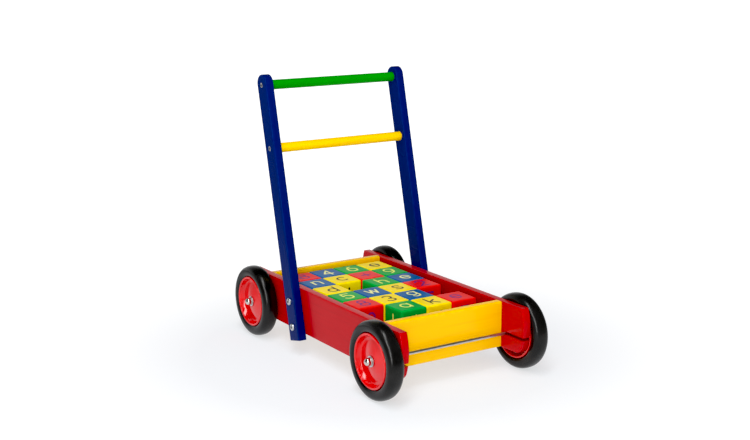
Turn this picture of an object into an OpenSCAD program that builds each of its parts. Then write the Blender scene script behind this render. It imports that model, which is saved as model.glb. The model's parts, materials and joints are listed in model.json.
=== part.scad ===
// Baby walker: a wooden tray on four dished wheels, a handle frame that leans back,
// and a load of loose cube blocks.
// Millimetres. +Z is up and the walker is pushed towards -Y, so -Y is its front.
// Left (+X) and right (-X) are as seen by the child who stands behind the handle.
// The origin is on the floor, under the middle of the wheels.

/* [Tray] */
// Outer width of the tray, over both side panels
tray_w = 238; // [230:1:250]
// Thickness of the side and end panels
board_t = 13.5; // [12:0.5:15]
// Length of a side panel
side_len = 466; // [456:1:476]
// How far the middle of a side panel lies behind the middle of the wheelbase
side_shift = -3; // [-5:0.5:0]
// Height of the panels' lower edge above the floor
side_z = 35; // [32:1:38]
// Height of the panels
side_h = 74; // [70:1:78]
// Radius of the side panels' lower corners
corner_r = 16; // [10:1:20]
// How far a side panel's end bulges past its top corner
end_bulge = 6; // [2:0.5:8]
// Front end of a side panel to the front panel's outer face
front_overhang = 55.5; // [50:0.5:58]
// Rear end of a side panel to the rear panel's outer face
rear_overhang = 46; // [42:0.5:50]
// Height of the base board's top face above the floor
base_z = 57; // [56:0.2:57.2]
// Thickness of the base board
base_t = 3; // [2.5:0.5:3]

/* [Running gear] */
// Distance between the axles
wheelbase = 381; // [378:1:384]
// Diameter over the tyres
wheel_d = 120; // [118:1:122]
// Width of a tyre
tyre_w = 26.8; // [24:0.2:27]
// Diameter of the rim that the tyre sits on
rim_d = 82; // [80:1:84]
// Diameter of the axle rods
axle_d = 5; // [4:0.5:6]

/* [Handle frame] */
// Angle that the uprights lean back from vertical
lean = 13.2; // [10:0.1:16]
// Where the uprights' centre line would meet the floor, behind the middle of the wheelbase
foot_y = 49.7; // [45:0.1:55]
// Distance along the uprights from the floor to their top
post_top = 460.5; // [440:0.5:480]
// Distance along the uprights from the floor to their foot
post_foot = 24.2; // [20:0.1:30]
// Width of an upright, front to back
post_w = 30; // [28:1:32]
// Thickness of an upright
post_t = 15; // [14:0.5:16]
// Diameter of the handle bar and the lower rail
bar_d = 16; // [14:0.5:18]
// Handle bar's axis below the top of the uprights
bar_drop = 17.5; // [15:0.5:20]
// Lower rail's axis below the top of the uprights
rail_drop = 121; // [100:1:140]

/* [Blocks] */
// Edge length of a block
block = 47.6; // [46:0.1:47.7]
// Distance between the middles of neighbouring blocks
pitch = 48; // [48:0.1:48.4]
// Gap between the rear panel and the rearmost row of blocks
rear_gap = 12; // [4:1:30]

/* [Hidden] */
// Left is +1 and right is -1; front is -1 and rear is +1.
SIDES = [1, -1];
CORNERS = [["front_left", -1, 1], ["front_right", -1, -1], ["rear_left", 1, 1], ["rear_right", 1, -1]];
// One string for each row from the rear to the front, and one letter for each block from right
// to left: Red, Blue, Green, Yellow, or - for an empty place.
LAYOUT = ["RBGY", "BYRG", "Y-GB", "GBYR", "RYB-", "-GYR"];
BLOCKS = [for (row = [1:len(LAYOUT)], col = [1:4]) if (LAYOUT[row - 1][col - 1] != "-")
    [str("block_r", row, "c", col), row, col, LAYOUT[row - 1][col - 1]]];

RED = [0.75, 0.04, 0.06];
BLUE = [0.02, 0.10, 0.45];
GREEN = [0.02, 0.50, 0.15];
YELLOW = [0.98, 0.78, 0.03];
STEEL = [0.78, 0.79, 0.80];
RUBBER = [0.06, 0.06, 0.06];
BIRCH = [0.85, 0.70, 0.50];

outer_x = tray_w / 2;
inner_x = outer_x - board_t;
side_top = side_z + side_h;
side_front = side_shift - side_len / 2;
side_rear = side_shift + side_len / 2;
front_face = side_front + front_overhang;
rear_face = side_rear - rear_overhang;
// The ends bulge most at this height, and turn into the lower corners at this angle
bulge_z = side_z + side_h * 0.57;
corner_start = 17;
tray_front = front_face + board_t;
tray_rear = rear_face - board_t;

// Base board grooves: a little wider than the board, and deeper than the board reaches
groove_depth = 4.5;
groove_play = 0.1;
board_play = 0.5;

// Joint dowels between side and end panels
peg_r = 3;
peg_in_side = 10;
peg_in_end = 20;
peg_heights = [side_z + 10, side_z + 57];

// Running gear, measured outwards from a side panel's outer face
wheel_r = wheel_d / 2;
axle_y = wheelbase / 2;
wheel_x = outer_x + 14.3;
axle_r = axle_d / 2;
axle_play = 0.06;
washer_r = 8.5;
inner_washer_t = 1;
outer_washer_t = 1.2;
gap = 0.3;
sleeve_in = outer_x + inner_washer_t + gap;
sleeve_out = sleeve_in + 22.2;
cap_x = sleeve_out + gap + outer_washer_t;
cap_len = 9.5;
cap_r = 6.5;
axle_end = cap_x + 5.5;

// Wheel disc, as radius and distance outwards from the tyre's middle plane
sleeve_r = 6.5;
rim_r = rim_d / 2;
hub_face = sleeve_out - 0.3 - wheel_x;
disc_t = 2;
cone_rim_r = rim_r - 9.5;
valley_r = rim_r - 5.5;
valley_x = 4;
lip_x = 10.9;
lip_r = 1.9;
barrel_r = rim_r - 1.8;

// Handle fastenings, as distances along the uprights
bolt_levels = [47, 89];
bar_level = post_top - bar_drop;
rail_level = post_top - rail_drop;
bar_r = bar_d / 2;
bar_in_post = 8.5;
bar_socket = 9;
bolt_r = 3;
bolt_head_r = 6;
bolt_head_h = 3.2;
nut_r = 5.5;
nut_h = 3.5;
screw_r = 2;
screw_head_r = 4;
screw_reach = 26;
post_out = outer_x + post_t;

block_floor = base_z + 0.3;

$fn = 64;

// Helpers

// A rod or hole along X, from x0 to x1
module rod_x(r, x0, x1) {
    translate([x0, 0, 0]) rotate([0, 90, 0]) cylinder(r = r, h = x1 - x0);
}

// A turned shape on an axis along X. Its profile is drawn as radius and distance outwards
// from the plane x = at, on the given side.
module turned_x(at, side) {
    mirror([side < 0 ? 1 : 0, 0, 0]) translate([at, 0, 0]) rotate([0, 90, 0]) rotate_extrude() children();
}

// A plate that stands across X. Its outline is drawn in Y and Z, and edge_r rounds its edges.
module rounded_plate(x_mid, t, edge_r) {
    translate([x_mid, 0, 0]) rotate([90, 0, 90]) hull() for (a = [0, 45, 90])
        linear_extrude(t - 2 * edge_r * (1 - sin(a)), center = true)
            offset(delta = -edge_r * (1 - cos(a))) children();
}

// The leaning frame of the handle: local Z runs up the uprights' centre line
module on_handle() {
    translate([0, foot_y, 0]) rotate([-lean, 0, 0]) children();
}

// A place on every wheel corner's axle
module at_axle(end) {
    translate([0, end * axle_y, wheel_r]) children();
}

// Tray

// Half of a side panel's outline, from the end's top corner to its lower corner.
// reach is the distance from the panel's middle to its end.
function side_end(reach) = let (
    corner_z = side_z + corner_r,
    low_z = corner_z - corner_r * sin(corner_start),
    corner_y = end_bow(reach, low_z) - corner_r * cos(corner_start)) concat(
    [for (i = [0:11]) let (z = side_top - (side_top - low_z) * i / 12) [end_bow(reach, z), z]],
    [for (i = [0:9]) let (a = corner_start + (90 - corner_start) * i / 9)
        [corner_y + corner_r * cos(a), corner_z - corner_r * sin(a)]]);

// How far a bulging end reaches at height z
function end_bow(reach, z) = reach - end_bulge * pow((z - bulge_z) / (side_top - bulge_z), 2);

module side_outline() {
    front = [for (p = side_end(-side_front)) [-p[0], p[1]]];
    rear = side_end(side_rear);
    polygon(concat(front, [for (i = [len(rear) - 1:-1:0]) rear[i]]));
}

module side_panel(side) {
    color(RED) difference() {
        rounded_plate(side * (outer_x - board_t / 2), board_t, 1.5) side_outline();
        translate([side * inner_x, (tray_front + tray_rear) / 2, base_z - base_t / 2])
            cube([2 * groove_depth, tray_rear - tray_front + 2 * groove_depth, base_t + 2 * groove_play],
                center = true);
        for (end = [-1, 1]) at_axle(end) {
            rod_x(axle_r + axle_play, -outer_x - 1, outer_x + 1);
            translate([0, end * side_len / 2, 0])
                cube([2 * outer_x + 2, side_len, 2 * (axle_r + axle_play)], center = true);
        }
        on_handle() for (level = bolt_levels) translate([0, 0, level])
            rod_x(bolt_r + 0.1, -outer_x - 1, outer_x + 1);
        peg_places() rod_x(peg_r, -inner_x - peg_in_side, inner_x + peg_in_side);
    }
}

// A rounded bar of board that closes one end of the tray. to_tray is +1 when the tray is behind it.
module end_panel(y_mid, to_tray) {
    edge_r = 2.5;
    color(YELLOW) difference() {
        translate([0, y_mid, side_z]) rotate([90, 0, 90])
            linear_extrude(2 * inner_x, center = true) rounded_section(board_t, side_h, edge_r);
        translate([0, y_mid + to_tray * board_t / 2, base_z - base_t / 2])
            cube([tray_w, 2 * groove_depth, base_t + 2 * groove_play], center = true);
        peg_places() for (side = SIDES) mirror([side < 0 ? 1 : 0, 0, 0])
            rod_x(peg_r, inner_x - peg_in_end, inner_x + 1);
    }
}

// A rectangle that stands on Y = 0 with all four corners rounded
module rounded_section(w, h, r) {
    for (x = [r - w / 2, w / 2 - r], y = [r, h - r]) translate([x, y]) circle(r, $fn = 32);
    translate([r - w / 2, 0]) square([w - 2 * r, h]);
    translate([-w / 2, r]) square([w, h - 2 * r]);
}

module base_board() {
    reach = groove_depth - board_play;
    color(BIRCH) translate([-inner_x - reach, tray_front - reach, base_z - base_t])
        cube([2 * (inner_x + reach), tray_rear - tray_front + 2 * reach, base_t]);
}

module peg_places() {
    for (y = [front_face + board_t / 2, rear_face - board_t / 2], z = peg_heights)
        translate([0, y, z]) children();
}

module joint_dowels() {
    color(BIRCH) peg_places() for (side = SIDES) mirror([side < 0 ? 1 : 0, 0, 0])
        rod_x(peg_r - 0.02, inner_x - peg_in_end + 1, inner_x + peg_in_side - 0.5);
}

// Running gear

module axle(end) {
    color(STEEL) at_axle(end) rod_x(axle_r, -axle_end, axle_end);
}

module washers(x, t) {
    color(STEEL) for (end = [-1, 1], side = SIDES) at_axle(end) turned_x(x, side)
        translate([axle_r + axle_play, 0]) square([washer_r - axle_r - axle_play, t]);
}

// A domed cap pressed on the axle's end
module axle_caps() {
    bore = axle_r + 0.02;
    skirt = 4.6;
    dome = [for (a = [0:10:90]) [cap_r * cos(a), skirt + (cap_len - skirt) * sin(a)]];
    hole = axle_end - cap_x + 0.2;
    color(STEEL) for (end = [-1, 1], side = SIDES) at_axle(end) turned_x(cap_x, side)
        polygon(concat([[bore, 0], [cap_r, 0]], dome, [[0, hole], [bore, hole]]));
}

// The tyre's section is a superellipse cut off where it sits on the rim
module tyre(corner) {
    mid_r = wheel_r - 10;
    half_h = wheel_r - mid_r;
    power = 2.4;
    seat = acos(pow((mid_r - rim_r) / half_h, power / 2));
    function bow(c) = sign(c) * pow(abs(c), 2 / power);
    section = [for (i = [0:32]) let (a = -180 + seat + (360 - 2 * seat) * i / 32)
        [mid_r + half_h * bow(cos(a)), tyre_w / 2 * bow(sin(a))]];
    color(RUBBER) at_axle(corner[1]) turned_x(wheel_x, corner[2]) polygon(section);
}

// A dished disc: a flat hub, a cone down to a valley, a steep wall and a rolled lip.
// The barrel under the tyre ends in a second lip on the inner side.
module wheel_disc(corner) {
    lip_mid = rim_r - 0.5;
    lip = [for (a = [180:-20:-60]) [lip_mid + lip_r * cos(a), lip_x + lip_r * sin(a)]];
    inner_lip = [for (i = [len(lip) - 1:-1:0]) [lip[i][0], -lip[i][1]]];
    face = [[sleeve_r, hub_face], [10, hub_face], [cone_rim_r, valley_x], [valley_r, valley_x]];
    seat = [[rim_r, lip_x - lip_r], [rim_r, lip_r - lip_x]];
    back = [[barrel_r, valley_x - disc_t], [cone_rim_r, valley_x - disc_t],
        [10, hub_face - disc_t], [sleeve_r, hub_face - disc_t]];
    color(RED) at_axle(corner[1]) turned_x(wheel_x, corner[2])
        polygon(concat(face, lip, seat, inner_lip, back));
}

module hub_sleeve(corner) {
    color(STEEL) at_axle(corner[1]) turned_x(sleeve_in, corner[2])
        translate([axle_r + axle_play, 0]) square([sleeve_r - axle_r - axle_play, sleeve_out - sleeve_in]);
}

// Handle frame

module post_outline() {
    translate([-post_w / 2, post_foot]) square([post_w, post_top - post_foot - post_w / 2]);
    translate([0, post_top - post_w / 2]) circle(d = post_w);
}

module upright(side) {
    color(BLUE) on_handle() difference() {
        rounded_plate(side * (outer_x + post_t / 2), post_t, 2) post_outline();
        for (level = bolt_levels) translate([0, 0, level]) rod_x(bolt_r + 0.1, -post_out - 1, post_out + 1);
        for (level = [bar_level, rail_level]) translate([0, 0, level]) {
            rod_x(bar_r, -outer_x - bar_socket, outer_x + bar_socket);
            rod_x(screw_r + 0.1, -post_out - 1, post_out + 1);
            turned_x(post_out, side) polygon([[0, 0.1], [screw_head_r + 0.1, 0.1], [screw_head_r + 0.1, 0],
                [screw_r + 0.1, screw_r - screw_head_r], [0, screw_r - screw_head_r]]);
        }
    }
}

// A round bar between the uprights, with a pilot hole for a screw in each end
module cross_bar(level, tint) {
    reach = outer_x + bar_in_post;
    color(tint) on_handle() translate([0, 0, level]) difference() {
        rod_x(bar_r - 0.02, -reach, reach);
        for (side = SIDES) mirror([side < 0 ? 1 : 0, 0, 0]) rod_x(screw_r, post_out - screw_reach, reach + 1);
    }
}

// Low domed heads outside the uprights, with shanks that reach through to the nuts
module upright_bolts() {
    head = [for (a = [0:10:90]) [bolt_head_r * cos(a), 0.6 + (bolt_head_h - 0.6) * sin(a)]];
    tip = inner_x - nut_h + 0.5 - post_out;
    color(STEEL) on_handle() for (level = bolt_levels, side = SIDES) translate([0, 0, level])
        turned_x(post_out, side)
            polygon(concat([[0, tip], [bolt_r, tip], [bolt_r, 0], [bolt_head_r, 0]], head));
}

module bolt_nuts() {
    bore = bolt_r + 0.02;
    color(STEEL) on_handle() for (level = bolt_levels, side = SIDES) translate([0, 0, level])
        turned_x(inner_x - nut_h, side)
            polygon([[bore, 0.8], [bore, nut_h], [nut_r + 1, nut_h], [nut_r + 1, nut_h - 1],
                [nut_r, nut_h - 1], [nut_r, 0.8], [nut_r - 0.8, 0], [bore + 0.8, 0]]);
}

module handle_screws() {
    dome = 0.6;
    color(STEEL) on_handle() for (level = [bar_level, rail_level], side = SIDES) translate([0, 0, level])
        turned_x(post_out, side)
            polygon([[0, -screw_reach + 1], [screw_r - 0.02, -screw_reach + 3], [screw_r - 0.02, -2.02],
                [screw_head_r, 0], [screw_head_r * 0.6, dome * 0.7], [0, dome]]);
}

// Load

function block_colour(letter) =
    letter == "R" ? [0.85, 0.03, 0.06] : letter == "B" ? [0.10, 0.30, 0.68] :
    letter == "G" ? [0.00, 0.60, 0.22] : [1.00, 0.86, 0.04];

// b is the block's name, its row from the rear, its column from the right and its colour's letter
module block(b) {
    bevel = 1.6;
    x = (b[2] - 2.5) * pitch;
    y = tray_rear - rear_gap - block / 2 - (b[1] - 1) * pitch;
    core = block - 2 * bevel;
    color(block_colour(b[3])) translate([x, y, block_floor + block / 2]) hull() {
        cube([block, core, core], center = true);
        cube([core, block, core], center = true);
        cube([core, core, block], center = true);
    }
}

side_panel(1);  // side_panel_left
side_panel(-1);  // side_panel_right
end_panel(front_face + board_t / 2, 1);  // end_panel_front
end_panel(rear_face - board_t / 2, -1);  // end_panel_rear
base_board();
joint_dowels();
axle(-1);  // axle_front
axle(1);  // axle_rear
washers(outer_x, inner_washer_t);  // inner_washers
washers(cap_x - outer_washer_t, outer_washer_t);  // outer_washers
axle_caps();
upright(1);  // upright_left
upright(-1);  // upright_right
cross_bar(bar_level, GREEN);  // handle_bar
cross_bar(rail_level, YELLOW);  // lower_rail
upright_bolts();
bolt_nuts();
handle_screws();
for (c = CORNERS) {
    tyre(c);
    wheel_disc(c);
    hub_sleeve(c);
}
for (b = BLOCKS) block(b);
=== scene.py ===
"""Looks of the baby walker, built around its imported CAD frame.

Metres, in the frame's own axes: +Z is up and the walker is pushed towards -Y. Left (+X) and
right (-X) are as seen by the child behind the handle. Each wooden piece is built in a local
frame whose X runs along its grain, so that one finish suits all of them.
"""
import json
import math
import random

import bmesh
import bpy
from mathutils import Matrix, Vector
from mathutils.geometry import delaunay_2d_cdt


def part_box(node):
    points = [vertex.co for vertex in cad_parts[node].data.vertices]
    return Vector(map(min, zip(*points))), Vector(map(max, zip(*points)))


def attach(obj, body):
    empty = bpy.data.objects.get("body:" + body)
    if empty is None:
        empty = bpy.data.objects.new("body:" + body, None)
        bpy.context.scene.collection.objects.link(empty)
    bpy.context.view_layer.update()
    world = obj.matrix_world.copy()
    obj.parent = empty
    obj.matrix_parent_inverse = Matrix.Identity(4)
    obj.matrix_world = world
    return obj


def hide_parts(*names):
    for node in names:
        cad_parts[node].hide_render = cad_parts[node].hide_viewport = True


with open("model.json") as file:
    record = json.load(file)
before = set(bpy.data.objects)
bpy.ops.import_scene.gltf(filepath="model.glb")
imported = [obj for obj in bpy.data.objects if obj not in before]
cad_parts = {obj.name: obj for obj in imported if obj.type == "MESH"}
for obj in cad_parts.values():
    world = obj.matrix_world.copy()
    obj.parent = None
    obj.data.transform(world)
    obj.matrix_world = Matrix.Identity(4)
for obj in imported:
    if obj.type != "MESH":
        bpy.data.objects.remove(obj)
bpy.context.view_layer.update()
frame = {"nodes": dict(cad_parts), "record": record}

MM = 0.001
SHARP = math.radians(38)
WEAR_FADE = 4 * MM  # how far the wear on an edge reaches over the faces beside it
X, Y, Z = Vector((1, 0, 0)), Vector((0, 1, 0)), Vector((0, 0, 1))
CORNERS = ["front_left", "front_right", "rear_left", "rear_right"]


# ---------------------------------------------------------------- places in the frame

def middle(node):
    low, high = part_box(node)
    return (low + high) / 2


def size(node):
    low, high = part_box(node)
    return high - low


def solids(node):
    """The lowest and highest corner of each separate solid in a CAD node, front to rear."""
    bm = bmesh.new()
    bm.from_mesh(frame["nodes"][node].data)
    bmesh.ops.remove_doubles(bm, verts=bm.verts, dist=1e-6)
    waiting = set(bm.verts)
    found = []
    while waiting:
        group = [waiting.pop()]
        for vert in group:
            for edge in vert.link_edges:
                other = edge.other_vert(vert)
                if other in waiting:
                    waiting.remove(other)
                    group.append(other)
        found.append([Vector(limit(v.co[i] for v in group) for i in range(3)) for limit in (min, max)])
    bm.free()
    return sorted(found, key=lambda box: (box[0].y, box[0].z, box[0].x))


def local_frame(origin, along, across):
    """A placement whose X axis is along and whose Y axis is across."""
    along, across = along.normalized(), across.normalized()
    up = along.cross(across)
    turn = Matrix((along, across, up)).transposed()
    return Matrix.Translation(origin) @ turn.to_4x4()


def outwards_frame(centre, side):
    """A placement at centre whose X axis points away from the walker's middle."""
    return local_frame(centre, X * side, Y * side)


def side_of(point):
    return 1 if point.x > 0 else -1


def side_name(point):
    return "left" if point.x > 0 else "right"


def corner_name(point):
    return ("rear_" if point.y > 0 else "front_") + side_name(point)


# ---------------------------------------------------------------- outlines

def arc(u, v, ru, rv, start, end, step=12):
    """Points on an ellipse round (u, v), from one angle to another, in degrees."""
    count = max(3, math.ceil(abs(end - start) / step))
    angles = [math.radians(start + (end - start) * i / count) for i in range(count + 1)]
    return [(u + ru * math.cos(a), v + rv * math.sin(a)) for a in angles]


def rounded_path(corners, step=10):
    """A closed outline whose corners (u, v, radius) are rounded."""
    points = []
    for i, (u, v, radius) in enumerate(corners):
        here = Vector((u, v))
        back = (Vector(corners[i - 1][:2]) - here).normalized()
        on = (Vector(corners[(i + 1) % len(corners)][:2]) - here).normalized()
        turn = math.pi - back.angle(on)
        if radius <= 0 or turn < 0.01:
            points.append((u, v))
            continue
        centre = here + (back + on).normalized() * radius / math.cos(turn / 2)
        start = here + back * radius * math.tan(turn / 2) - centre
        way = -1 if back.x * on.y - back.y * on.x > 0 else 1
        count = max(2, math.ceil(math.degrees(turn) / step))
        for k in range(count + 1):
            point = centre + Matrix.Rotation(way * turn * k / count, 2) @ start
            points.append((point.x, point.y))
    return points


def inset(outline, distance):
    """A counterclockwise outline moved inwards."""
    moved = []
    for i, point in enumerate(outline):
        here = Vector(point)
        before = (here - Vector(outline[i - 1])).normalized()
        after = (Vector(outline[(i + 1) % len(outline)]) - here).normalized()
        inwards = Vector((-before.y - after.y, before.x + after.x))
        moved.append(here + inwards * distance / (1 + before.dot(after)))
    return moved


# ---------------------------------------------------------------- meshes

def skin(rings, wears, wrap=False):
    """Quads between rings of points. Each ring has its own edge wear, or each point has.
    The first and the last ring are closed with a face, or meet if wrap is true."""
    bm = bmesh.new()
    layer = bm.verts.layers.float.new("wear")
    rows = []
    for ring, wear in zip(rings, wears):
        row = []
        for i, point in enumerate(ring):
            vert = bm.verts.new(point)
            vert[layer] = wear[i] if isinstance(wear, list) else wear
            row.append(vert)
        rows.append(row)
    pairs = list(zip(rows, rows[1:])) + ([(rows[-1], rows[0])] if wrap else [])
    for low, high in pairs:
        for i in range(len(low)):
            j = (i + 1) % len(low)
            bm.faces.new((low[i], low[j], high[j], high[i]))
    if not wrap:
        bm.faces.new(rows[0][::-1])
        bm.faces.new(rows[-1])
    return bm


def slab(outline, thickness, edge_r, steps=5):
    """A plate across local Z with rounded edges. Wear is on the edges and fades over the faces."""
    half = thickness / 2
    levels = [(edge_r + WEAR_FADE, half, 0)]
    for k in range(steps, -1, -1):
        a = math.radians(90 * k / steps)
        levels.append((edge_r * (1 - math.cos(a)), half - edge_r * (1 - math.sin(a)), 1))
    levels = [(d, -z, w) for d, z, w in levels] + [(0, 0, 0)] + levels[::-1]
    rings = [[(u, v, z) for u, v in inset(outline, distance)] for distance, z, _ in levels]
    return skin(rings, [wear for _, _, wear in levels])


def bar_stock(width, height, length, edge_r):
    """A board along local X, with its four long edges rounded and its ends cut square."""
    corners = [(-1, -1), (1, -1), (1, 1), (-1, 1)]
    outline, wears = [], []
    for i, (u, v) in enumerate(corners):
        centre = (u * (width / 2 - edge_r), v * (height / 2 - edge_r))
        bend = arc(*centre, edge_r, edge_r, 180 + 90 * i, 270 + 90 * i, 15)
        next_u, next_v = corners[(i + 1) % 4]
        step = Vector((next_u - u, next_v - v)) / 2
        run = abs(step.x) * width + abs(step.y) * height - 2 * edge_r
        reach = min(WEAR_FADE, run / 3)
        start, end = Vector(bend[-1]), Vector(bend[-1]) + step * run
        outline += bend + [tuple(start + step * reach), tuple(end - step * reach)]
        wears += [1.0] * len(bend) + [0.0, 0.0]
    rings = [[(x, u, v) for u, v in outline] for x in (-length / 2, length / 2)]
    return skin(rings, [wears, wears])


def turned(profile, segments=96):
    """A closed profile of (radius, distance along X), turned about local X."""
    rings = []
    for i in range(segments):
        a = math.tau * i / segments
        rings.append([(x, r * math.cos(a), r * math.sin(a)) for r, x in profile])
    bm = skin(rings, [0] * segments, wrap=True)
    bmesh.ops.remove_doubles(bm, verts=bm.verts, dist=1e-7)
    return bm


def rod_profile(radius, reach, edge_r):
    """Half of a round bar's section, with its ends rounded over."""
    return rounded_path([(0, -reach, 0), (radius, -reach, edge_r), (radius, reach, edge_r), (0, reach, 0)])


def tube_profile(bore_r, radius, reach, bore_edge, edge):
    """Half of a ring's or a tube's section, with its edges rounded over."""
    return rounded_path([(bore_r, -reach, bore_edge), (radius, -reach, edge),
                         (radius, reach, edge), (bore_r, reach, bore_edge)], 30)


def box_mesh(low, high):
    bm = bmesh.new()
    centre, extent = (low + high) / 2, high - low
    matrix = Matrix.Translation(centre) @ Matrix.Diagonal((*extent, 1))
    bmesh.ops.create_cube(bm, size=1, matrix=matrix)
    return bm


def mesh_object(name, bm, at, *materials):
    mesh = bpy.data.meshes.new(name)
    bmesh.ops.recalc_face_normals(bm, faces=bm.faces)
    bm.to_mesh(mesh)
    bm.free()
    mesh.shade_smooth()
    mesh.set_sharp_from_angle(angle=SHARP)
    for material in materials:
        mesh.materials.append(material)
    obj = bpy.data.objects.new(name, mesh)
    bpy.context.scene.collection.objects.link(obj)
    obj.matrix_world = at
    return obj


def cut(obj, *cutters):
    """Takes closed cutters away from a piece. The cut faces have the cutters' material."""
    for cutter in cutters:
        modifier = obj.modifiers.new("cut", "BOOLEAN")
        modifier.operation = "DIFFERENCE"
        modifier.solver = "EXACT"
        modifier.material_mode = "TRANSFER"
        modifier.object = cutter
    bpy.context.view_layer.update()
    evaluated = obj.evaluated_get(bpy.context.evaluated_depsgraph_get())
    mesh = bpy.data.meshes.new_from_object(evaluated)
    obj.modifiers.clear()
    obj.data = mesh
    mesh.shade_smooth()
    mesh.set_sharp_from_angle(angle=SHARP)
    for cutter in cutters:
        bpy.data.objects.remove(cutter)


def finish_piece(obj, body, slot, *nodes):
    """Makes obj ride on a body and hides the CAD nodes that it stands for. slot is not used."""
    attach(obj, body)
    if nodes:
        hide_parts(*nodes)


# ---------------------------------------------------------------- shader helpers

def add(tree, kind, inputs=(), **settings):
    """A new node. Its inputs are given by name or number: a socket is linked, and a value is set."""
    made = tree.nodes.new(kind)
    for key, value in settings.items():
        setattr(made, key, value)
    for key, value in dict(inputs).items():
        if isinstance(value, bpy.types.NodeSocket):
            tree.links.new(value, made.inputs[key])
        else:
            made.inputs[key].default_value = value
    return made


def new_material(name):
    material = bpy.data.materials.new(name)
    material.use_nodes = True
    tree = material.node_tree
    return material, tree, tree.nodes["Principled BSDF"]


def noise(tree, place, scale, detail=2.0, rough=0.5, distortion=0.0, stretch=None):
    """Noise in the piece's own space, different on every piece."""
    lot = add(tree, "ShaderNodeObjectInfo").outputs["Random"]
    shift = add(tree, "ShaderNodeMath", {0: lot, 1: 37.0}, operation="MULTIPLY").outputs[0]
    if stretch:
        place = add(tree, "ShaderNodeMapping", {"Vector": place, "Scale": stretch}).outputs[0]
    inputs = {"Vector": place, "W": shift, "Scale": scale, "Detail": detail,
              "Roughness": rough, "Distortion": distortion}
    return add(tree, "ShaderNodeTexNoise", inputs, noise_dimensions="4D").outputs["Fac"]


def spread(tree, value, low, high, to_low=0.0, to_high=1.0):
    """Maps value from low and high to to_low and to_high, and keeps it between them."""
    inputs = {"Value": value, "From Min": low, "From Max": high, "To Min": to_low, "To Max": to_high}
    return add(tree, "ShaderNodeMapRange", inputs).outputs["Result"]


def times(tree, a, b):
    return add(tree, "ShaderNodeMath", {0: a, 1: b}, operation="MULTIPLY").outputs[0]


def mix(tree, factor, a, b):
    """A colour between a and b."""
    return add(tree, "ShaderNodeMix", {0: factor, 6: a, 7: b}, data_type="RGBA").outputs[2]


def bump(tree, height, distance, normal=None):
    inputs = {"Height": height, "Distance": distance, "Strength": 1.0}
    if normal:
        inputs["Normal"] = normal
    return add(tree, "ShaderNodeBump", inputs).outputs["Normal"]


def local_place(tree):
    return add(tree, "ShaderNodeTexCoord").outputs["Object"]


def shade(colour, factor):
    """A colour made darker or lighter."""
    return (*(min(1.0, c * factor) for c in colour[:3]), 1.0)


# ---------------------------------------------------------------- finishes

def painted_wood(name, colour, streak, streak_share, gloss, specular):
    """Gloss paint on wood: faint streaks along the grain, soft clouds, and thinner paint on
    the edges. streak is the colour where the grain shows most, and gloss the roughness."""
    material, tree, shader = new_material(name)
    place = local_place(tree)
    grain = noise(tree, place, 1, 5, 0.62, 0.5, stretch=(9, 210, 210))
    pores = noise(tree, place, 1, 3, 0.7, 0.2, stretch=(60, 1500, 1500))
    clouds = noise(tree, place, 16, 2)
    peel = noise(tree, place, 420, 1)
    paint = mix(tree, times(tree, spread(tree, grain, 0.46, 0.74), streak_share), colour, streak)
    paint = mix(tree, spread(tree, clouds, 0.3, 0.7, 0, 0.3), paint, shade(colour, 0.86))
    worn = add(tree, "ShaderNodeAttribute", attribute_name="wear").outputs["Fac"]
    chafed = times(tree, worn, spread(tree, noise(tree, place, 160, 4), 0.42, 0.7, 0, 0.45))
    paint = mix(tree, chafed, paint, shade(colour, 1.35))
    tree.links.new(paint, shader.inputs["Base Color"])
    rough = spread(tree, clouds, 0.3, 0.7, gloss - 0.03, gloss + 0.05)
    tree.links.new(rough, shader.inputs["Roughness"])
    shader.inputs["Specular IOR Level"].default_value = specular
    relief = bump(tree, grain, 0.00012)
    relief = bump(tree, pores, 0.00002, normal=relief)
    relief = bump(tree, peel, 0.00002, normal=relief)
    tree.links.new(relief, shader.inputs["Normal"])
    return material


def bare_wood(name, light, dark, scale=1.0):
    """Unpainted timber with growth streaks and short dark pores."""
    material, tree, shader = new_material(name)
    place = local_place(tree)
    grain = noise(tree, place, scale, 6, 0.6, 0.8, stretch=(7, 120, 120))
    pores = noise(tree, place, scale, 3, 0.6, stretch=(90, 1400, 1400))
    wood = mix(tree, spread(tree, grain, 0.35, 0.7), light, dark)
    wood = mix(tree, spread(tree, pores, 0.6, 0.75, 0, 0.5), wood, shade(dark, 0.6))
    tree.links.new(wood, shader.inputs["Base Color"])
    tree.links.new(spread(tree, grain, 0.3, 0.7, 0.5, 0.65), shader.inputs["Roughness"])
    tree.links.new(bump(tree, pores, 0.00006), shader.inputs["Normal"])
    shader.inputs["Specular IOR Level"].default_value = 0.3
    return material


def ink(name, colour):
    """Screen-printed ink: nearly even, a little rougher than the paint under it."""
    material, tree, shader = new_material(name)
    place = local_place(tree)
    clouds = noise(tree, place, 240, 3)
    tree.links.new(mix(tree, spread(tree, clouds, 0.35, 0.7), colour, shade(colour, 0.8)),
                   shader.inputs["Base Color"])
    tree.links.new(spread(tree, clouds, 0.3, 0.7, 0.35, 0.5), shader.inputs["Roughness"])
    tree.links.new(bump(tree, clouds, 0.00002), shader.inputs["Normal"])
    shader.inputs["Specular IOR Level"].default_value = 0.3
    return material


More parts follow.
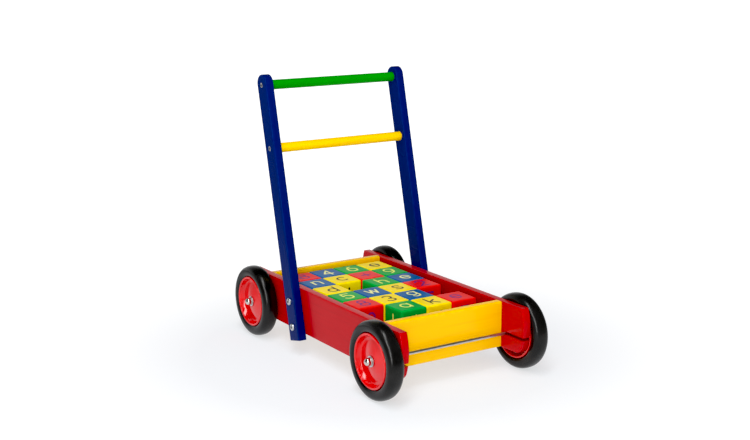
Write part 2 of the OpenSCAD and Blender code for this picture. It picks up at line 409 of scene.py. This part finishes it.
def rubber(name):
    """Black moulded rubber with a fine matt grain and a trace of dust."""
    material, tree, shader = new_material(name)
    place = local_place(tree)
    clouds = noise(tree, place, 35, 4, 0.6)
    fine = noise(tree, place, 1900, 2)
    black, dust = (0.010, 0.0098, 0.0095, 1), (0.018, 0.0175, 0.017, 1)
    tree.links.new(mix(tree, spread(tree, clouds, 0.4, 0.75), black, dust), shader.inputs["Base Color"])
    tree.links.new(spread(tree, clouds, 0.3, 0.7, 0.2, 0.27), shader.inputs["Roughness"])
    relief = bump(tree, clouds, 0.00005)
    tree.links.new(bump(tree, fine, 0.00001, normal=relief), shader.inputs["Normal"])
    shader.inputs["Specular IOR Level"].default_value = 0.32
    return material


def enamel(name, colour):
    """Glossy enamel on pressed metal, with a soft orange peel."""
    material, tree, shader = new_material(name)
    place = local_place(tree)
    peel = noise(tree, place, 300, 1)
    clouds = noise(tree, place, 30, 3)
    tree.links.new(mix(tree, spread(tree, clouds, 0.35, 0.7), colour, shade(colour, 0.85)),
                   shader.inputs["Base Color"])
    tree.links.new(spread(tree, clouds, 0.3, 0.7, 0.12, 0.18), shader.inputs["Roughness"])
    tree.links.new(bump(tree, peel, 0.00003), shader.inputs["Normal"])
    shader.inputs["Specular IOR Level"].default_value = 0.5
    shader.inputs["Coat Weight"].default_value = 0.4
    shader.inputs["Coat Roughness"].default_value = 0.06
    return material


def steel(name, colour, smooth, rough, stretch):
    """Plated steel with fine tool marks, drawn out along the axes with a small stretch."""
    material, tree, shader = new_material(name)
    place = local_place(tree)
    marks = noise(tree, place, 1, 4, 0.7, stretch=stretch)
    clouds = noise(tree, place, 130, 3)
    tree.links.new(mix(tree, spread(tree, clouds, 0.35, 0.7), colour, shade(colour, 0.78)),
                   shader.inputs["Base Color"])
    tree.links.new(spread(tree, marks, 0.3, 0.7, smooth, rough), shader.inputs["Roughness"])
    tree.links.new(bump(tree, marks, 0.00001), shader.inputs["Normal"])
    shader.inputs["Metallic"].default_value = 1.0
    return material


# The blocks' paints, each with its colour where the grain shows, and the inks printed on them
BLOCK_COLOURS = {
    "red": ((0.80, 0.014, 0.012, 1), (0.52, 0.006, 0.006, 1)),
    "blue": ((0.010, 0.115, 0.33, 1), (0.005, 0.06, 0.20, 1)),
    "green": ((0.002, 0.37, 0.05, 1), (0.001, 0.22, 0.025, 1)),
    "yellow": ((0.95, 0.72, 0.002, 1), (0.85, 0.50, 0.001, 1)),
}
INKS = {"red": (0.22, 0.02, 0.20, 1), "blue": (0.92, 0.90, 0.36, 1),
        "green": (0.85, 0.90, 0.16, 1), "yellow": (0.045, 0.05, 0.02, 1)}

# Each paint's colour, its colour where the grain shows, the streaks' share, roughness and specular
PAINTS = {
    "red_paint": ((0.47, 0.001, 0.005, 1), (0.31, 0.0005, 0.003, 1), 0.45, 0.22, 0.18),
    "yellow_paint": ((0.94, 0.53, 0.001, 1), (0.88, 0.40, 0.001, 1), 0.5, 0.22, 0.2),
    "rail_yellow_paint": ((0.90, 0.57, 0.002, 1), (0.85, 0.42, 0.001, 1), 0.6, 0.22, 0.15),
    "blue_paint": ((0.001, 0.014, 0.122, 1), (0.001, 0.007, 0.074, 1), 0.5, 0.26, 0.09),
    "green_paint": ((0.001, 0.265, 0.004, 1), (0.001, 0.17, 0.003, 1), 0.5, 0.22, 0.12),
}
FINISHES = {name: painted_wood(name, *values) for name, values in PAINTS.items()}
FINISHES |= {
    "birch_ply": bare_wood("birch_ply", (0.72, 0.52, 0.30, 1), (0.58, 0.38, 0.19, 1), 0.6),
    "bare_beech": bare_wood("bare_beech", (0.70, 0.47, 0.27, 1), (0.55, 0.33, 0.17, 1)),
    "steel_rod": steel("steel_rod", (0.62, 0.63, 0.64, 1), 0.26, 0.36, (12, 500, 500)),
    "zinc_steel": steel("zinc_steel", (0.66, 0.67, 0.69, 1), 0.22, 0.38, (1800, 300, 300)),
    # Dark steel for the insides of sockets and recesses: painted shade in the hollows
    "socket_painted_shade": steel("socket_painted_shade", (0.10, 0.10, 0.11, 1), 0.4, 0.6, (900, 900, 900)),
    "chromed_steel": steel("chromed_steel", (0.72, 0.69, 0.64, 1), 0.06, 0.13, (900, 500, 500)),
    "tyre_rubber": rubber("tyre_rubber"),
    "wheel_red": enamel("wheel_red", (0.70, 0.003, 0.005, 1)),
}
for tint, colours in BLOCK_COLOURS.items():
    FINISHES["block_" + tint] = painted_wood("block_" + tint, *colours, 0.35, 0.32, 0.12)
    FINISHES["ink_on_" + tint] = ink("ink_on_" + tint, INKS[tint])


# ---------------------------------------------------------------- tray

GROOVE_DEPTH = 4.5 * MM
GROOVE_PLAY = 0.1 * MM
AXLE_PLAY = 0.06 * MM
PANEL_EDGE_R = {"side": 1.5 * MM, "end": 2.5 * MM}


def groove_cutter():
    """What the base board's grooves take out of the four panels round it."""
    low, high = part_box("base_board")
    reach_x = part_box("side_panel_left")[0].x + GROOVE_DEPTH
    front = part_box("end_panel_front")[1].y - GROOVE_DEPTH
    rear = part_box("end_panel_rear")[0].y + GROOVE_DEPTH
    bm = box_mesh(Vector((-reach_x, front, low.z - GROOVE_PLAY)),
                  Vector((reach_x, rear, high.z + GROOVE_PLAY)))
    return mesh_object("groove_cutter", bm, Matrix.Identity(4), FINISHES["red_paint"])


def axle_cutter(axle):
    """The slot in which an axle lies. It is open at the side panels' ends."""
    radius, centre = size(axle).z / 2 + AXLE_PLAY, middle(axle)
    reach, past_end = size(axle).x / 2, 80 * MM
    out = math.copysign(1, centre.y)
    outline = arc(0, 0, radius, radius, 90, 270) + [(past_end, -radius), (past_end, radius)]
    rings = [[(x, out * u, v) for u, v in outline] for x in (-reach, reach)]
    bm = skin(rings, [0, 0])
    return mesh_object("axle_cutter", bm, Matrix.Translation(centre), FINISHES["red_paint"])


def side_outline(half_length, half_height):
    """A side panel in Y and Z: ends that bulge between their corners, and round lower corners."""
    corner_r, corner_start = 16 * MM, 17
    bulge, bulge_v = 6 * MM, 0.14 * half_height
    steps = 12
    corner_v = corner_r - half_height
    low_v = corner_v - corner_r * math.sin(math.radians(corner_start))
    levels = [half_height + (low_v - half_height) * i / steps for i in range(steps + 1)]
    bow = [(half_length - bulge * ((v - bulge_v) / (half_height - bulge_v)) ** 2, v) for v in levels]
    corner_u = bow.pop()[0] - corner_r * math.cos(math.radians(corner_start))
    end = (bow + arc(corner_u, corner_v, corner_r, corner_r, -corner_start, -90, 8))[::-1]
    return end + [(-u, v) for u, v in end[::-1]]


def build_side_panels():
    for side in ("left", "right"):
        node = "side_panel_" + side
        extent = size(node)
        bm = slab(side_outline(extent.y / 2, extent.z / 2), extent.x, PANEL_EDGE_R["side"])
        at = local_frame(middle(node), Y, Z)
        panel = mesh_object("painted_side_" + side, bm, at, FINISHES["red_paint"])
        cut(panel, groove_cutter(), axle_cutter("axle_front"), axle_cutter("axle_rear"))
        finish_piece(panel, "frame", "red_paint", node)


def build_end_panels():
    for end in ("front", "rear"):
        node = "end_panel_" + end
        extent = size(node)
        bm = bar_stock(extent.y, extent.z, extent.x, PANEL_EDGE_R["end"])
        at = local_frame(middle(node), X, Y)
        panel = mesh_object("painted_end_" + end, bm, at, FINISHES["yellow_paint"])
        cut(panel, groove_cutter())
        finish_piece(panel, "frame", "yellow_paint", node)


# ---------------------------------------------------------------- handle frame

UPRIGHT_HALF_W = 15 * MM
UPRIGHT_EDGE_R = 2 * MM
BAR_EDGE_R = 1 * MM
BOLT_SHANK_R = 3 * MM
SCREW_SHANK_R = 1.98 * MM


def handle_axis():
    """The direction that the uprights point in, from the lower rail to the handle bar."""
    return (middle("handle_bar") - middle("lower_rail")).normalized()


def build_uprights():
    axis = handle_axis()
    for side in ("left", "right"):
        node = "upright_" + side
        low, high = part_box(node)
        half_w = UPRIGHT_HALF_W
        origin = Vector((middle(node).x, middle("handle_bar").y, middle("handle_bar").z))
        top = (high.z - half_w - origin.z) / axis.z
        foot = (low.z + half_w * axis.y - origin.z) / axis.z
        outline = [(foot, half_w), (foot, -half_w)] + arc(top, 0, half_w, half_w, -90, 90, 6)
        bm = slab(outline, size(node).x, UPRIGHT_EDGE_R)
        at = local_frame(origin, axis, X.cross(axis))
        upright = mesh_object("painted_upright_" + side, bm, at, FINISHES["blue_paint"])
        finish_piece(upright, "frame", "blue_paint", node)


def build_cross_bars():
    for node, name, slot in (("handle_bar", "green_handle_bar", "green_paint"),
                             ("lower_rail", "yellow_lower_rail", "rail_yellow_paint")):
        radius, reach = size(node).z / 2, size(node).x / 2
        profile = rod_profile(radius, reach, BAR_EDGE_R)
        bar = mesh_object(name, turned(profile), local_frame(middle(node), X, Y), FINISHES[slot])
        finish_piece(bar, "frame", slot, node)


def hex_reach(angle, apothem):
    """Distance from the middle of a hexagon to its outline."""
    sixth = math.tau / 6
    return apothem / math.cos((angle + sixth / 2) % sixth - sixth / 2)


def socket_head(radius, height, shank_r, shank_len, segments=96):
    """A low domed bolt head with a hexagon socket, and its shank behind it. The socket's walls and floor
    have the second material, a dark steel that paints shade into the socket."""
    rim, flat_r, edge = 0.7 * MM, 0.62 * radius, 0.3 * MM
    apothem, depth, lead_in = 2.05 * MM, 2.2 * MM, 0.25 * MM
    dome = [(math.cos(a) * (radius - flat_r) + flat_r, rim + (height - rim) * math.sin(a))
            for a in (math.radians(d) for d in range(0, 91, 10))]
    profile = [(shank_r, -shank_len), (shank_r, 0), (radius - edge, 0), (radius, edge)] + dome
    angles = [math.tau * i / segments for i in range(segments)]
    rings = [[(x, r * math.cos(a), r * math.sin(a)) for a in angles] for r, x in profile]
    socket = [(height, apothem + lead_in), (height - lead_in, apothem), (height - depth, apothem)]
    for x, reach in socket:
        radii = [hex_reach(a, reach) for a in angles]
        rings.append([(x, r * math.cos(a), r * math.sin(a)) for r, a in zip(radii, angles)])
    bm = skin(rings, [0] * len(rings))
    for face in bm.faces:
        inside = face.calc_center_median()
        if math.hypot(inside.y, inside.z) < 1.16 * apothem and 0 < inside.x < height - 0.2 * MM:
            face.material_index = 1
    return bm


def build_upright_bolts():
    for low, high in solids("upright_bolts"):
        centre = (low + high) / 2
        side = side_of(centre)
        face_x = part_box("upright_left")[1].x
        level = "upper" if centre.z > middle("end_panel_rear").z else "lower"
        head_h = max(abs(low.x), abs(high.x)) - face_x
        shank_len = face_x - min(abs(low.x), abs(high.x))
        bm = socket_head((high.z - low.z) / 2, head_h, BOLT_SHANK_R, shank_len)
        centre.x = side * face_x
        name = f"socket_bolt_{side_name(centre)}_{level}"
        bolt = mesh_object(name, bm, outwards_frame(centre, side),
                           FINISHES["zinc_steel"], FINISHES["socket_painted_shade"])
        finish_piece(bolt, "frame", "zinc_steel", "upright_bolts")


def build_handle_screws():
    """Countersunk heads with a cross recess, on pointed shanks."""
    for low, high in solids("handle_screws"):
        centre = (low + high) / 2
        side = side_of(centre)
        face_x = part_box("upright_left")[1].x
        level = "handle" if centre.z > (middle("lower_rail").z + middle("handle_bar").z) / 2 else "rail"
        head_r, shank_r = (high.z - low.z) / 2, SCREW_SHANK_R
        dome = max(abs(low.x), abs(high.x)) - face_x
        tip = min(abs(low.x), abs(high.x)) - face_x
        point, sink, edge, rim = 2 * MM, 2 * MM, 0.1 * MM, 0.05 * MM
        profile = [(0, tip), (shank_r, tip + point), (shank_r, -sink), (head_r - edge, -edge), (head_r, rim)]
        profile += arc(0, rim, head_r, dome - rim, 20, 90, 10)
        centre.x = side * face_x
        at = outwards_frame(centre, side)
        name = f"cross_screw_{side_name(centre)}_{level}"
        screw = mesh_object(name, turned(profile, 48), at, FINISHES["zinc_steel"])
        # The cross recess's cut faces take the dark socket steel: painted shade in the recess
        arm, half_slot, deep, past_head = 2.3 * MM, 0.45 * MM, 1.2 * MM, 2 * MM
        arms = []
        for half_y, half_z in ((arm, half_slot), (half_slot, arm)):
            cutter = box_mesh(Vector((-deep, -half_y, -half_z)), Vector((past_head, half_y, half_z)))
            arms.append(mesh_object("recess_cutter", cutter, at, FINISHES["socket_painted_shade"]))
        cut(screw, *arms)
        finish_piece(screw, "frame", "zinc_steel", "handle_screws")


# ---------------------------------------------------------------- running gear

AXLE_EDGE_R = 0.5 * MM
CAP_PLAY = 0.02 * MM
RIM_R = 41 * MM
LIP_R = 1.9 * MM
HUB_FACE = 8.9 * MM  # how far the disc's hub land stands out from the wheel's middle


def build_axles():
    for node in ("axle_front", "axle_rear"):
        radius, reach = size(node).z / 2, size(node).x / 2
        profile = rod_profile(radius, reach, AXLE_EDGE_R)
        at = local_frame(middle(node), X, Y)
        rod = mesh_object("steel_" + node, turned(profile, 64), at, FINISHES["steel_rod"])
        finish_piece(rod, "frame", "steel_rod", node)


def build_washers():
    bore_r, edge = size("axle_front").z / 2 + AXLE_PLAY, 0.35 * MM
    for node in ("inner_washers", "outer_washers"):
        for low, high in solids(node):
            centre = (low + high) / 2
            radius, half_t = (high.z - low.z) / 2, (high.x - low.x) / 2
            profile = tube_profile(bore_r, radius, half_t, edge / 2, edge)
            name = f"{node[:-1]}_{corner_name(centre)}"
            washer = mesh_object(name, turned(profile), outwards_frame(centre, side_of(centre)),
                                 FINISHES["zinc_steel"])
            finish_piece(washer, "frame", "zinc_steel", node)


def build_axle_caps():
    """Domed caps, pressed over the axles' ends, with a small rolled foot."""
    bore_r = size("axle_front").z / 2 + CAP_PLAY
    for low, high in solids("axle_caps"):
        centre = (low + high) / 2
        radius, length = (high.z - low.z) / 2, high.x - low.x
        skirt, hollow = 0.42 * length, 0.62 * length
        foot_out, foot_half, taper = 0.5 * MM, 0.9 * MM, 0.8 * MM
        waist = radius - foot_out
        foot = arc(waist, foot_half, foot_out, foot_half, -90, 90, 20)
        dome = arc(0, skirt, waist, length - skirt, 8, 90, 6)
        profile = [(bore_r, 0)] + foot + [(waist, skirt)] + dome + [(0, hollow), (bore_r, hollow - taper)]
        centre.x = side_of(centre) * min(abs(low.x), abs(high.x))
        cap = mesh_object("domed_cap_" + corner_name(centre), turned(profile),
                          outwards_frame(centre, side_of(centre)), FINISHES["chromed_steel"])
        finish_piece(cap, "frame", "chromed_steel", "axle_caps")


def disc_profile(sleeve_r, lip_x):
    """A dished disc as radius and distance outwards: hub land, cone, valley, wall and rolled lips."""
    valley_x, metal, land_r = 4 * MM, 2 * MM, 10.5 * MM
    cone_r, valley_r, barrel_r = RIM_R - 9.5 * MM, RIM_R - 5.5 * MM, RIM_R - 1.8 * MM
    hub_edge, land_bend, cone_bend, valley_bend, barrel_bend = (r * MM for r in (0.3, 3, 4, 2.2, 2))
    lip_mid = RIM_R - 0.5 * MM
    lip = arc(lip_mid, lip_x, LIP_R, LIP_R, 180, -60, 15)
    corners = [(sleeve_r, HUB_FACE - metal, 0), (sleeve_r, HUB_FACE, hub_edge),
               (land_r, HUB_FACE, land_bend), (cone_r, valley_x, cone_bend),
               (valley_r, valley_x, valley_bend)]
    corners += [(r, x, 0) for r, x in lip]
    corners += [(RIM_R, lip_x - LIP_R, 0), (RIM_R, LIP_R - lip_x, 0)]
    corners += [(r, -x, 0) for r, x in lip[::-1]]
    corners += [(barrel_r, valley_x - metal, barrel_bend), (cone_r, valley_x - metal, cone_bend),
                (land_r, HUB_FACE - metal, land_bend)]
    return rounded_path(corners, 9)


def tyre_profile(outer_r, width):
    """A full round tyre as radius and distance outwards, cut off where it sits on the rim."""
    power, half_h, count = 2.4, 10 * MM, 72
    mid_r = outer_r - half_h
    seat = math.degrees(math.acos(((mid_r - RIM_R) / half_h) ** (power / 2)))
    profile = []
    for i in range(count + 1):
        a = math.radians(-180 + seat + (360 - 2 * seat) * i / count)
        bow = [math.copysign(abs(c) ** (2 / power), c) for c in (math.cos(a), math.sin(a))]
        profile.append((mid_r + half_h * bow[0], width / 2 * bow[1]))
    return profile


def build_wheels():
    for corner in CORNERS:
        body = "wheel_" + corner
        tyre_node, disc_node, sleeve_node = "tyre_" + corner, "wheel_disc_" + corner, "hub_sleeve_" + corner
        centre, extent = middle(tyre_node), size(tyre_node)
        at = outwards_frame(centre, side_of(centre))
        profile = tyre_profile(extent.z / 2, extent.x)
        tyre = mesh_object("rubber_tyre_" + corner, turned(profile, 144), at, FINISHES["tyre_rubber"])
        finish_piece(tyre, body, "tyre_rubber", tyre_node)

        sleeve_r = size(sleeve_node).z / 2
        profile = disc_profile(sleeve_r, size(disc_node).x / 2 - LIP_R)
        disc = mesh_object("dished_disc_" + corner, turned(profile, 144), at, FINISHES["wheel_red"])
        finish_piece(disc, body, "wheel_red", disc_node)

        bore_r, edge = size("axle_front").z / 2 + AXLE_PLAY, 0.4 * MM
        profile = tube_profile(bore_r, sleeve_r, size(sleeve_node).x / 2, edge, edge)
        at = outwards_frame(middle(sleeve_node), side_of(centre))
        sleeve = mesh_object("bearing_sleeve_" + corner, turned(profile, 64), at, FINISHES["zinc_steel"])
        finish_piece(sleeve, body, "zinc_steel", sleeve_node)


# ---------------------------------------------------------------- blocks

# Plain school-style characters drawn with one pen, in millimetres round the middle of a face.
# Each is a list of strokes, and a stroke is a list of points.
GLYPHS = {
    "1": [[(-5, 8.5), (1.5, 13), (1.5, -13)]],
    "2": [arc(0, 5.6, 7.8, 7.6, 165, -38) + [(-8, -13), (8.2, -13)]],
    "3": [arc(0, 6.4, 7, 6.8, 150, -90), arc(0, -6.6, 8, 6.4, 90, -150)],
    "4": [[(3.5, -13), (3.5, 13), (-8.5, -5.5), (8.5, -5.5)]],
    "5": [[(6.8, 13), (-6, 13), (-7, 0.6)] + arc(-0.4, -4.7, 8.4, 8.3, 140, -148)],
    "6": [arc(0, -5, 8, 8.2, 0, 360), arc(6, -5, 14, 18, 180, 100)],
    "7": [[(-8, 13), (8, 13), (-3.5, -13)]],
    "8": [arc(0, 6.6, 6.2, 6.6, 0, 360), arc(0, -6.4, 7.8, 6.6, 0, 360)],
    "9": [arc(0, 5, 8, 8.2, 0, 360), arc(-6, 5, 14, 18, 0, -80)],
    "a": [arc(-0.5, 0, 7.8, 9, 0, 360), [(7.3, 9), (7.3, -9)]],
    "b": [[(-7, 13), (-7, -13)], arc(0.5, -4.8, 7.5, 8.2, 0, 360)],
    "c": [arc(0.8, 0, 8.4, 9.2, 48, 312)],
    "d": [[(7, 13), (7, -13)], arc(-0.5, -4.8, 7.5, 8.2, 0, 360)],
    "e": [[(-8.2, 0), (8.2, 0)], arc(0, 0, 8.2, 9.2, 0, 318)],
    "g": [arc(-0.4, 4.8, 7.6, 8.2, 0, 360), [(7.2, 13), (7.2, -5.5)] + arc(0, -5.5, 7.2, 7.5, 0, -150)],
    "h": [[(-7, 13), (-7, -13)], arc(0, -3.2, 7, 7, 180, 0) + [(7, -13)]],
    "l": [[(0, 13), (0, -13)]],
    "k": [[(-6, 13), (-6, -13)], [(6.8, 4.5), (-6, -5.2)], [(-1.8, -2.1), (7.5, -13)]],
    "n": [[(-7, 9.2), (-7, -9.2)], arc(0, 1.8, 7, 7.4, 180, 0) + [(7, -9.2)]],
    "o": [arc(0, 0, 8.4, 9.2, 0, 360)],
    "s": [arc(0.2, 4.6, 6.2, 4.8, 28, 270) + arc(0.2, -4.9, 6.8, 4.7, 90, -152)],
    "u": [[(-7, 9.2), (-7, -1.8)] + arc(0, -1.8, 7, 7.4, 180, 360), [(7, 9.2), (7, -9.2)]],
    "w": [[(-10, 9), (-5.2, -9), (0, 9), (5.2, -9), (10, 9)]],
    "y": [[(-7.8, 9), (0.2, -4.6)], [(8, 9), (-3.4, -13)]],
    "+": [[(-8, 0), (8, 0)], [(0, 8), (0, -8)]],
}
PEN = 3.3 * MM
PRINT_PROUD = 0.08 * MM
PRINT_SUNK = 0.25 * MM
BLOCK_EDGE_R = 2.6 * MM
STRAIGHT_ON = math.radians(28)  # a stroke that turns by more than this has a sharp bend

# The character on top of each block, one string for each row from the rear to the front
TOPS = ["846e", "nc+9", "d_he", "5ws2", "83g_", "_ake"]
SIDE_GLYPHS = "1a2b3c4d5e6g7h8k9nosuwy"
# Characters on sides that show past the neighbouring blocks, by block and face. The others are
# picked at random, from a fixed seed.
CHOSEN = {
    ("r2c2", "front"): "l",
    ("r5c1", "front"): "8",
    ("r6c2", "right"): "l",
    ("r6c2", "front"): "4",
}


def ribbon(stroke):
    """Flat polygons for one pen stroke, in 2-D metres. The stroke is split at its sharp bends,
    and every stretch has round ends."""
    points = [Vector(p) * MM for i, p in enumerate(stroke) if not i or math.dist(p, stroke[i - 1]) > 0.01]
    bends = [i for i in range(1, len(points) - 1)
             if (points[i] - points[i - 1]).angle(points[i + 1] - points[i]) > STRAIGHT_ON]
    polygons = []
    for start, end in zip([0] + bends, bends + [len(points) - 1]):
        part = points[start:end + 1]
        last = len(part) - 1
        ways = [(part[min(i + 1, last)] - part[max(i - 1, 0)]).normalized() for i in range(last + 1)]
        sides = [Vector((-way.y, way.x)) * PEN / 2 for way in ways]
        left = [p + s for p, s in zip(part, sides)]
        right = [p - s for p, s in zip(part, sides)]
        for i in range(last):
            polygons.append([right[i], right[i + 1], left[i + 1], left[i]])
        for tip, way in ((part[0], -ways[0]), (part[-1], ways[-1])):
            across = Vector((way.y, -way.x))
            fan = [math.radians(-90 + 20 * k) for k in range(10)]
            polygons.append([tip + (way * math.cos(a) + across * -math.sin(a)) * PEN / 2 for a in fan])
    return polygons


def glyph_mesh(character):
    """The union of a character's strokes as 2-D points and triangles."""
    points, faces = [], []
    for stroke in GLYPHS[character]:
        for polygon in ribbon(stroke):
            faces.append(list(range(len(points), len(points) + len(polygon))))
            points += polygon
    points, _, faces, _, _, sources = delaunay_2d_cdt(points, [], faces, 0, 1e-6, True)
    return points, [face for face, source in zip(faces, sources) if source]


def print_glyph(bm, character, at):
    """Adds a character as a thin raised solid on the plane at, with the ink's material number."""
    points, faces = GLYPH_MESHES[character]
    tops = [bm.verts.new(at @ Vector((*p, PRINT_PROUD))) for p in points]
    feet = [bm.verts.new(at @ Vector((*p, -PRINT_SUNK))) for p in points]
    made, seen = [], {}
    for face in faces:
        made.append(bm.faces.new([tops[i] for i in face]))
        made.append(bm.faces.new([feet[i] for i in face[::-1]]))
        for i, j in zip(face, face[1:] + face[:1]):
            seen[(i, j)] = seen.get((i, j), 0) + 1
    for i, j in seen:
        if (j, i) not in seen:
            made.append(bm.faces.new((tops[j], tops[i], feet[i], feet[j])))
    for face in made:
        face.material_index = 1


def face_frames(half):
    """A frame on each face of a cube: X to the right and Y up, as its character is read."""
    ways = {"top": (X, Y), "front": (X, Z), "right": (-Y, Z), "left": (Y, Z), "rear": (-X, Z),
            "under": (X, -Y)}
    return {name: local_frame(across.cross(up) * half, across, up) for name, (across, up) in ways.items()}


def block_mesh(edge, characters):
    """A cube with rounded edges and a printed character on each face. The character is turned by
    a random number of quarters on the faces that are seldom seen."""
    bm = bmesh.new()
    bmesh.ops.create_cube(bm, size=edge)
    bmesh.ops.bevel(bm, geom=bm.edges[:], offset=BLOCK_EDGE_R, segments=5, profile=0.5, affect="EDGES")
    layer = bm.verts.layers.float.new("wear")
    for vert in bm.verts:
        vert[layer] = 1.0
    faces = [f for f in bm.faces if f.calc_area() > (edge * 0.7) ** 2]
    old = set(bm.verts)
    bmesh.ops.inset_individual(bm, faces=faces, thickness=WEAR_FADE)
    for vert in set(bm.verts) - old:
        vert[layer] = 0.0
    for (name, at), character in zip(face_frames(edge / 2).items(), characters):
        quarter = 0 if name in ("top", "front", "right") else random.randrange(4)
        print_glyph(bm, character, at @ Matrix.Rotation(quarter * math.pi / 2, 4, "Z"))
    return bm


def block_tint(node):
    """The colour word in the name of a block's material slot in the record."""
    slots = {part["node"]: part["material_slot"] for part in frame["record"]["subparts"]}
    return slots[node].removeprefix("block_")


def build_blocks():
    random.seed(24)
    for node in sorted(n for n in frame["nodes"] if n.startswith("block_")):
        row, column = int(node[7]), int(node[9])
        characters = [TOPS[row - 1][column - 1]] + random.sample(SIDE_GLYPHS, 5)
        for i, face in enumerate(face_frames(1)):
            characters[i] = CHOSEN.get((node[6:], face), characters[i])
        tint = block_tint(node)
        bm = block_mesh(size(node).x, characters)
        block = mesh_object("letter_" + node, bm, Matrix.Translation(middle(node)),
                            FINISHES["block_" + tint], FINISHES["ink_on_" + tint])
        finish_piece(block, "loose_" + node, "block_" + tint, node)


# ---------------------------------------------------------------- carried-over CAD nodes

def dress_nodes():
    """The CAD nodes that stay: only their finish changes."""
    for node, finish in (("base_board", "birch_ply"), ("joint_dowels", "bare_beech"),
                         ("bolt_nuts", "zinc_steel")):
        for slot in frame["nodes"][node].material_slots:
            slot.material = FINISHES[finish]


# ---------------------------------------------------------------- studio

def area_light(name, place, aim, width, height, power):
    """A soft box that stands at place and faces aim."""
    light = bpy.data.lights.new(name, "AREA")
    light.shape, light.size, light.size_y = "RECTANGLE", width, height
    light.energy = power
    obj = bpy.data.objects.new(name, light)
    bpy.context.scene.collection.objects.link(obj)
    obj.location = place
    obj.rotation_mode = "QUATERNION"
    obj.rotation_quaternion = (Vector(aim) - Vector(place)).to_track_quat("-Z", "Y")


def build_floor():
    """A white floor: its glow is bright enough far away to run into the white background. Near the
    object the glow is dimmer, a painted shade round the object that deepens its soft shadows, and
    the floor is painted a little cooler there to offset the warm light that the paint throws on it.
    Reflections see a white table top in a dark room."""
    material = bpy.data.materials.new("floor_white")
    material.use_nodes = True
    tree = material.node_tree
    tree.nodes.clear()
    away = add(tree, "ShaderNodeVectorMath", {0: local_place(tree)}, operation="LENGTH").outputs["Value"]
    # Less glow near the object: painted shade round it
    seen_glow = spread(tree, away, 0.3, 1.0, 0.6, 1.1)
    mirrored_glow = spread(tree, away, 0.45, 0.95, 0.55, 0.1)
    gloss = add(tree, "ShaderNodeLightPath").outputs["Is Glossy Ray"]
    glow = add(tree, "ShaderNodeMix", {0: gloss, 2: seen_glow, 3: mirrored_glow}).outputs[0]
    glow = add(tree, "ShaderNodeEmission", {"Color": (1, 1, 1, 1), "Strength": glow}).outputs[0]
    # Cooler near the object: painted colour against the warm bounce light
    cool, neutral = (0.312, 0.337, 0.374, 1), (0.333, 0.338, 0.347, 1)
    tint = mix(tree, spread(tree, away, 0.15, 0.55), cool, neutral)
    diffuse = add(tree, "ShaderNodeBsdfDiffuse", {"Color": tint}).outputs[0]
    both = add(tree, "ShaderNodeAddShader", {0: diffuse, 1: glow}).outputs[0]
    add(tree, "ShaderNodeOutputMaterial", {"Surface": both})
    bm = bmesh.new()
    bmesh.ops.create_grid(bm, x_segments=8, y_segments=8, size=40)
    mesh_object("floor", bm, Matrix.Identity(4), material)


def build_world():
    """White near the horizon, dimmer overhead. The camera sees plain white, and reflections see a
    dark room with a white backdrop behind the object."""
    world = bpy.data.worlds.new("studio")
    bpy.context.scene.world = world
    world.use_nodes = True
    tree = world.node_tree
    tree.nodes.clear()
    way = add(tree, "ShaderNodeSeparateXYZ", {0: add(tree, "ShaderNodeTexCoord").outputs["Generated"]})
    path = add(tree, "ShaderNodeLightPath")
    backdrop = spread(tree, way.outputs[1], 0.62, 0.82, 0.2, 1)
    share = add(tree, "ShaderNodeMix", {0: path.outputs["Is Glossy Ray"], 2: 1.0, 3: backdrop}).outputs[0]
    brightness = times(tree, spread(tree, way.outputs[2], 0.25, 0.6, 0.85, 0.3), share)
    room = add(tree, "ShaderNodeBackground", {"Color": (1, 1, 1, 1), "Strength": brightness}).outputs[0]
    white = add(tree, "ShaderNodeBackground", {"Color": (1, 1, 1, 1), "Strength": 1.05}).outputs[0]
    seen = add(tree, "ShaderNodeMixShader", {0: path.outputs["Is Camera Ray"], 1: room, 2: white}).outputs[0]
    add(tree, "ShaderNodeOutputWorld", {"Surface": seen})


def build_lights():
    area_light("key_front", (-1.55, -2.15, 1.2), (0, 0, 0.15), 0.6, 2.0, 34)
    area_light("strip_top", (-0.85, -0.8, 2.4), (-0.05, -0.1, 0), 0.6, 2.4, 38)


def build_camera():
    """At the photograph's angle: 32.6 degrees to the right of the front, 12.3 above the floor."""
    data = bpy.data.cameras.new("camera")
    data.lens, data.sensor_width = 59.49, 36
    camera = bpy.data.objects.new("camera", data)
    bpy.context.scene.collection.objects.link(camera)
    azimuth, elevation, roll = math.radians(-32.55), math.radians(12.26), math.radians(-0.25)
    aim, distance = Vector((-0.0070, 0.0091, 0.2181)), 2.0056
    back = Vector((math.sin(azimuth) * math.cos(elevation), -math.cos(azimuth) * math.cos(elevation),
                   math.sin(elevation)))
    camera.location = aim + back * distance
    camera.rotation_mode = "QUATERNION"
    turn = back.to_track_quat("Z", "Y") @ Matrix.Rotation(roll, 3, "Z").to_quaternion()
    camera.rotation_quaternion = turn
    bpy.context.scene.camera = camera


def build_look():
    """Plain colours, with the deepest shadows brought down to black."""
    black_point = 0.015
    look = bpy.context.scene.view_settings
    look.view_transform = "Standard"
    look.use_curve_mapping = True
    look.curve_mapping.black_level = (black_point,) * 3
    look.curve_mapping.update()


GLYPH_MESHES = {character: glyph_mesh(character) for character in GLYPHS}

build_side_panels()
build_end_panels()
build_uprights()
build_cross_bars()
build_upright_bolts()
build_handle_screws()
build_axles()
build_washers()
build_axle_caps()
build_wheels()
build_blocks()
dress_nodes()
build_floor()
build_world()
build_lights()
build_camera()
build_look()
